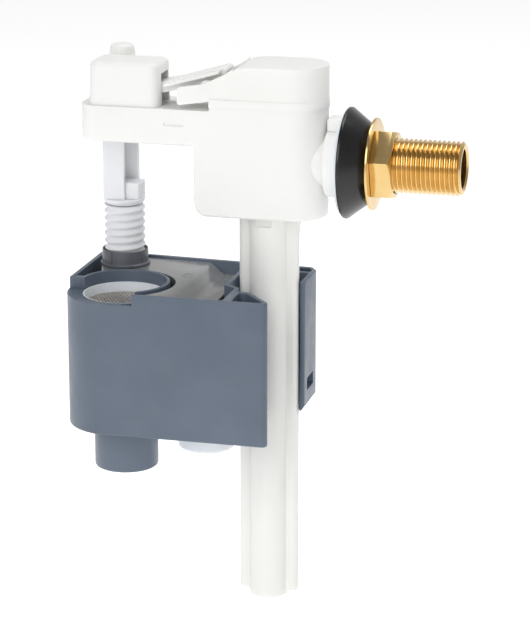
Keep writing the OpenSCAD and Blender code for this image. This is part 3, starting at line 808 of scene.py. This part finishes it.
deck = {"drop": 0.8, "depth": 14, "ledge": 4.2, "slopeRound": 3.5, "edgeRound": 0.5, "cupGap": 2.2,
        "spindleHole": 8.65, "gate": (-33, 0)}


def makeDeck():
    d = deck
    top = bucket["rim"] - d["drop"]
    outline = [(-16, -33.8, 1), (-16, 21.4, 1), (-72.4, 24.6, 2), (-72.4, 12, 4), (-68, -2, 6),
               (-56, -33.8, 1)]
    plate = planSolid("floatDeck", outline, top - d["depth"], top + 1)
    ledge = top - d["ledge"]
    profile = [(-80, top - 20, 0), (-10, top - 20, 0), (-10, ledge, 0), (-24.5, ledge, d["slopeRound"]),
               (-29.5, top, d["slopeRound"]), (-80, top, 0)]
    keepWithin(plate, sideSolid("deckRise", profile, -45, 45))
    bevelWhere(plate, d["edgeRound"], 3, lambda x, y, z: z > top - 5)
    cutFrom(plate, barSolid("cupGap", cup["x"], cup["y"], top, cup["radius"] + d["cupGap"], 40, "z", 96))
    cutFrom(plate, barSolid("spindleHole", rod["x"], rod["y"], top, d["spindleHole"], 40, "z", 64))
    gateRim = [(top - 0.2, 1.7, 0.1), (top - 0.2, 2.5, 0.1), (top + 0.12, 2.3, 0.1), (top + 0.12, 1.9, 0.1)]
    joinTo(plate, uprightSolid("gateRim", gateRim, *d["gate"], 40))
    return finishPiece(plate, deckPlastic, "float", "deck_plastic", "float_deck")


cup = {"x": -54, "y": -16.3, "radius": 17.8, "bore": 16.4, "tailRadius": 12.5, "tailLow": -122.8,
       "tailWall": 1.6}


def makeCup():
    rim, bore, radius = bucket["rim"], cup["bore"], cup["radius"]
    tail, tailLow = cup["tailRadius"], cup["tailLow"]
    tailBore = tail - cup["tailWall"]
    profile = [(rim, bore, 0.4), (-64, bore, 2), (-74, tailBore, 2), (tailLow, tailBore, 0.4),
               (tailLow, tail, 1), (-75, tail, 2), (-65, radius, 2), (rim, radius, 0.4)]
    piece = uprightSolid("drainCup", profile, cup["x"], cup["y"], 112)
    cutFrom(piece, rimCut())
    return finishPiece(piece, slatePlastic, "float", "slate_plastic", "drain_cup")


filterRing = {"drop": 0.1, "height": 4.2, "inner": 15, "gap": 0.1, "lip": 0.9, "slope": 3.2}


def makeFilterRing():
    r = filterRing
    top = bucket["rim"] - bucket["step"] - r["drop"]
    outside, lip = cup["bore"] - r["gap"], cup["bore"] - r["lip"]
    profile = [(top - r["height"], r["inner"], 0.1), (top - r["height"], outside, 0.1), (top, outside, 0.3),
               (top, lip, 0.3), (top - r["slope"], r["inner"], 0.3)]
    ring = uprightSolid("filterRing", profile, cup["x"], cup["y"], 112)
    return finishPiece(ring, ringWhite, "float", "white_plastic", "filter_ring")


sieve = {"pitch": 1.4, "land": 0.24, "radius": 15.5, "top": -56.4, "thickness": 0.3, "weldGap": 5e-6}


def makeSieve():
    # one six-sided cell, repeated as a honeycomb, then each cell is inset and opened
    s = sieve
    rise = s["pitch"] * 0.866  # from row to row
    # the rows lean to the right as they go back, so the sheet starts further left than the ring does
    count = int(2 * s["radius"] / s["pitch"] * 1.7)
    rows = int(2 * s["radius"] / rise) + 2
    middle = spot(cup["x"], cup["y"], s["top"])
    start = middle + Vector((-s["radius"] * 1.65, -s["radius"], 0)) * mm
    deselectAll()
    bpy.ops.mesh.primitive_circle_add(vertices=6, radius=s["pitch"] / math.sqrt(3) * mm, fill_type="NGON",
                                      location=start)
    sheet = bpy.context.object
    sheet.name = "filterMesh"
    bpy.ops.object.transform_apply(location=True, rotation=True, scale=True)
    for number, step in ((count, (s["pitch"], 0)), (rows, (s["pitch"] / 2, rise))):
        bpy.ops.object.modifier_add(type="ARRAY")
        repeat = sheet.modifiers[-1]
        repeat.count = number
        repeat.use_relative_offset = False
        repeat.use_constant_offset = True
        repeat.constant_offset_displace = (step[0] * mm, step[1] * mm, 0)
        bpy.ops.object.modifier_apply(modifier=repeat.name)
    bpy.ops.object.mode_set(mode="EDIT")
    bpy.ops.mesh.select_all(action="SELECT")
    bpy.ops.mesh.remove_doubles(threshold=s["weldGap"])
    bpy.ops.mesh.select_mode(type="FACE")
    bpy.ops.mesh.select_all(action="DESELECT")
    cells = bmesh.from_edit_mesh(sheet.data)
    for cell in cells.faces:
        cell.select_set((cell.calc_center_median() - middle).length > s["radius"] * mm)
    bmesh.update_edit_mesh(sheet.data)
    bpy.ops.mesh.delete(type="FACE")
    bpy.ops.mesh.select_all(action="SELECT")
    bpy.ops.mesh.inset(thickness=s["land"] * mm, use_individual=True)
    bpy.ops.mesh.delete(type="FACE")
    bpy.ops.mesh.select_all(action="SELECT")
    bpy.ops.mesh.extrude_region_move(TRANSFORM_OT_translate={"value": (0, 0, -s["thickness"] * mm)})
    bpy.ops.mesh.select_all(action="SELECT")
    bpy.ops.mesh.normals_make_consistent(inside=False)
    bpy.ops.mesh.select_mode(type="VERT")
    bpy.ops.object.mode_set(mode="OBJECT")
    return finishPiece(sheet, meshSteel, "float", "stainless_steel", "filter_mesh")


checkFoot = {"x": -27.6, "y": 6.5, "radius": 11.4, "low": -120.9, "inside": -118.9, "wall": 1.8,
             "flange": 1, "flangeTop": 1.8}


def makeCheckFloat():
    f = checkFoot
    radius, flange, bore = f["radius"], f["radius"] + f["flange"], f["radius"] - f["wall"]
    floor = bucket["low"] + bucket["wall"]
    top = floor + f["flangeTop"]
    profile = [(f["low"], 0, 0), (f["low"], radius, 1.6), (floor + 0.1, radius, 0.1),
               (floor + 0.1, flange, 0.2), (top, flange, 0.4), (top, bore, 0.3), (f["inside"], bore, 1),
               (f["inside"], 0, 0)]
    plug = uprightSolid("checkFloat", profile, f["x"], f["y"], 80, closed=False)
    return finishPiece(plug, ringWhite, "foot", "white_plastic", "check_float")


# down-pipe with a rib on either side, a flare below the body and a shallow recess in front
pipe = {"radius": 7.8, "bore": 6.2, "top": -21.4, "low": -178.2, "plugTop": -9.2, "rib": 11.8, "ribHalf": 2.6,
        "ribLow": -176.2, "ribCorner": 2.2, "ribRound": 0.9, "flareHalf": 2,
        "recess": (-3.2, 2.6, -25.6, -22.2), "recessFront": -9, "recessBack": -6.9}


def makePipe():
    p = pipe
    radius, rib, half, corner = p["radius"], p["rib"], p["ribHalf"], p["ribCorner"]
    meet = math.degrees(math.asin(half / radius))
    outline = arcCorners(0, 0, radius, meet, 180 - meet, 24)
    outline += [(-rib, half, corner), (-rib, -half, corner)]
    outline += arcCorners(0, 0, radius, 180 + meet, 360 - meet, 24)
    outline += [(rib, -half, corner), (rib, half, corner)]
    tube = planSolid("outletPipe", outline, p["ribLow"], p["top"])
    bevelWhere(tube, p["ribRound"], 4, lambda x, y, z: z < p["ribLow"] + 0.5 and abs(x) > radius - 0.4)
    plain = [(p["low"], 0, 0), (p["low"], radius, 1.1), (p["plugTop"], radius, 0), (p["plugTop"], 0, 0)]
    joinTo(tube, uprightSolid("plainPipe", plain, 0, 0, 72, closed=False))
    flare = [(9, p["top"], 0), (9, -29, 0), (11.75, -29, 0), (11.75, -25.5, 4), (15.4, p["top"], 0)]
    joinTo(tube, sideSolid("pipeFlare", flare, -p["flareHalf"], p["flareHalf"]))
    recess = boxCorners(*p["recess"], 0.5)
    cutFrom(tube, sideSolid("pipeRecess", recess, p["recessFront"], p["recessBack"]))
    cutFrom(tube, barSolid("pipeWaterway", 0, 0, -90, p["bore"], 180, "z", 72))
    return finishPiece(tube, pipeWhite, "body", "white_plastic", "outlet_pipe")


# where each piece starts along the inlet's axis
stations = {"collar": 23.4, "shoulder": 29.5, "gasket": 30.7, "washer": 40.95, "nut": 42, "tip": 76}
sleeveBore = 10.5  # of the pieces that sit close round the nipple
inletCollar = {"socket": 9.1, "radius": 13.5, "groove": 11.6, "grooveStart": 25, "grooveEnd": 27.6}


def makeInletCollar():
    c = inletCollar
    start, end = stations["collar"], stations["shoulder"]
    profile = [(start, c["socket"], 0.2), (start, c["radius"], 0.8), (end, c["radius"], 0.3),
               (end, sleeveBore, 0.2), (c["grooveEnd"], sleeveBore, 0), (c["grooveEnd"], c["groove"], 0),
               (c["grooveStart"], c["groove"], 0), (c["grooveStart"], c["socket"], 0)]
    ring = inletSolid("inletCollar", profile)
    return finishPiece(ring, bodyWhite, "body", "white_plastic", "inlet_collar")


clip = {"plan": (23.6, 29, -5, 5), "low": 12.6, "top": 17.4, "planRound": 1, "edgeRound": 0.6,
        "saddle": {"x": 26.5, "radius": 13.54, "length": 8},
        "tongue": (24.3, 26.3, -4.1, 4.1), "tongueLow": 11.8, "tongueTop": 14.2}


def makeClip():
    block = planSolid("lockingClip", boxCorners(*clip["plan"], clip["planRound"]), clip["low"], clip["top"])
    softenEdges(block, clip["edgeRound"], 4)
    cutFrom(block, barSolid("clipSaddle", y=0, z=0, axis="x", sides=96, **clip["saddle"]))
    joinTo(block, planSolid("clipTongue", boxCorners(*clip["tongue"]), clip["tongueLow"], clip["tongueTop"]))
    return finishPiece(block, bodyWhite, "body", "white_plastic", "locking_clip")


shoulderWasher = {"frontRadius": 20, "backRadius": 20.3, "gap": 0.02}


def makeShoulder():
    start, end = stations["shoulder"], stations["gasket"] - shoulderWasher["gap"]
    profile = [(start, sleeveBore, 0), (start, shoulderWasher["frontRadius"], 0.4),
               (end, shoulderWasher["backRadius"], 0.3), (end, sleeveBore, 0)]
    ring = inletSolid("shoulderWasher", profile, 128)
    return finishPiece(ring, ringWhite, "body", "white_plastic", "shoulder_washer")


wallGasket = {"radius": 21.35, "rim": 1.1, "tipRadius": 14.35, "gap": 0.05}


def makeGasket():
    g = wallGasket
    start, end = stations["gasket"], stations["washer"] - g["gap"]
    profile = [(start, sleeveBore, 0), (start, g["radius"], 0.35), (start + g["rim"], g["radius"], 0.5),
               (end, g["tipRadius"], 0.6), (end, sleeveBore, 0)]
    cone = inletSolid("wallGasket", profile, 128)
    return finishPiece(cone, blackRubber, "body", "black_rubber", "wall_gasket")


nipple = {"pitch": 1.814, "crest": 10.478, "threadDepth": 1.1, "crestShare": 0.22, "hiddenCrest": 10.2,
          "tipRadius": 9.3, "bore": 7.6, "innerBore": 6, "innerEnd": 31.6, "shankStart": 9.6, "shank": 8.9,
          "grooves": ((11.6, 13.8), (16.4, 18.6)), "groove": 7.4, "flange": (25.1, 27.5, 11.5), "neck": 9.4}


def makeNipple():
    n = nipple
    start, tip, crest = stations["gasket"], stations["tip"], n["crest"]
    turns = int((tip - start) / n["pitch"]) + 2
    screw = threadedRod("inletNipple", "X", n["pitch"], turns, crest - n["threadDepth"], crest, 72,
                        n["crestShare"])
    slideMesh(screw, spot(start - n["pitch"], 0, 0))
    # the crests are kept lower where the gasket, the washer and the nut hide them
    envelope = [(20, 0, 0), (20, n["hiddenCrest"], 0), (49, n["hiddenCrest"], 0), (50, crest + 0.01, 0),
                (tip - 0.9, crest + 0.01, 0), (tip, n["tipRadius"], 0), (tip, 0, 0)]
    keepWithin(screw, inletSolid("nippleEnvelope", envelope, 128, closed=False))
    shank = [(n["shankStart"], 0, 0), (n["shankStart"], n["shank"], 0.4)]
    for near, far in n["grooves"]:
        shank += [(near, n["shank"], 0), (near, n["groove"], 0), (far, n["groove"], 0), (far, n["shank"], 0)]
    near, far, flange = n["flange"]
    shank += [(near, n["shank"], 0), (near, flange, 0), (far, flange, 0), (far, n["neck"], 0),
              (start + 1, n["neck"], 0), (start + 1, 0, 0)]
    joinTo(screw, inletSolid("nippleShank", shank, closed=False))
    bore = [(5, 0, 0), (5, n["innerBore"], 0), (n["innerEnd"], n["innerBore"], 0),
            (n["innerEnd"], n["bore"], 0), (tip - 0.7, n["bore"], 0), (tip + 0.3, n["bore"] + 1, 0),
            (tip + 0.3, 0, 0)]
    cutFrom(screw, inletSolid("nippleBore", bore, closed=False))
    return finishPiece(screw, brass, "body", "brass", "inlet_nipple", smooth=35)


clampWasher = {"bore": 10.6, "radius": 17.7, "thickness": 1}


def makeClampWasher():
    w = clampWasher
    start, end = stations["washer"], stations["washer"] + w["thickness"]
    profile = [(start, w["bore"], 0.15), (start, w["radius"], 0.2), (end, w["radius"], 0.3),
               (end, w["bore"], 0.15)]
    ring = inletSolid("clampWasher", profile, 128)
    return finishPiece(ring, brass, "washer", "brass", "clamp_washer")


lockNut = {"flats": 25, "thickness": 8, "turn": 13, "bore": 10.56, "mouth": 11.3, "chamfer": 1.35,
           "edgeRound": 0.16}


def makeNut():
    n = lockNut
    near = stations["nut"]
    far = near + n["thickness"]
    corner = n["flats"] / 2 / math.cos(math.pi / 6)
    angles = [math.radians(n["turn"] + 60 * step) for step in range(6)]
    nut = traceOutline("lockNut", [spot(near, -corner * math.cos(a), corner * math.sin(a)) for a in angles])
    pullSolid((n["thickness"] * mm, 0, 0))
    form = [(near - 1, 0, 0), (near - 1, corner - 0.1, 0), (near + 0.3, corner + 0.15, 0),
            (far - n["chamfer"], corner + 0.15, 0), (far, n["flats"] / 2 - 0.5, 0), (far, 0, 0)]
    keepWithin(nut, inletSolid("nutForm", form, closed=False))
    softenEdges(nut, n["edgeRound"], 2, 20)
    bore = [(near - 1, 0, 0), (near - 1, n["bore"], 0), (far - 0.6, n["bore"], 0), (far + 0.2, n["mouth"], 0),
            (far + 0.2, 0, 0)]
    cutFrom(nut, inletSolid("nutBore", bore, closed=False))
    return finishPiece(nut, brass, "nut", "brass", "lock_nut", smooth=25)


makers = [makeHousing, makeCap, makeLever, makeHood, makeRail, makeButton, makeSpindle, makeCollar, makeShell,
          makeDeck, makeCup, makeFilterRing, makeSieve, makeCheckFloat, makePipe, makeInletCollar, makeClip,
          makeShoulder, makeGasket, makeNipple, makeClampWasher, makeNut]
for maker in makers:
    piece = maker()
    print("made", piece.name, len(piece.data.polygons), "faces")

# CAD nodes that stay, hidden inside or small, and the finish that each one takes
keptNodes = {
    blackRubber: ["outlet_seal", "diaphragm", "cap_seal", "pilot_pad", "inlet_orings"],
    bodyWhite: ["seat_ring", "diaphragm_insert", "inlet_strainer"],
    pinSteel: ["metering_pin", "lever_pin", "link_pin"],
    brass: ["pilot_nozzle"],
    slatePlastic: ["flow_regulator"],
}
for finish, names in keptNodes.items():
    for name in names:
        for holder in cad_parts[name].material_slots:
            holder.material = finish
print("kept nodes painted")
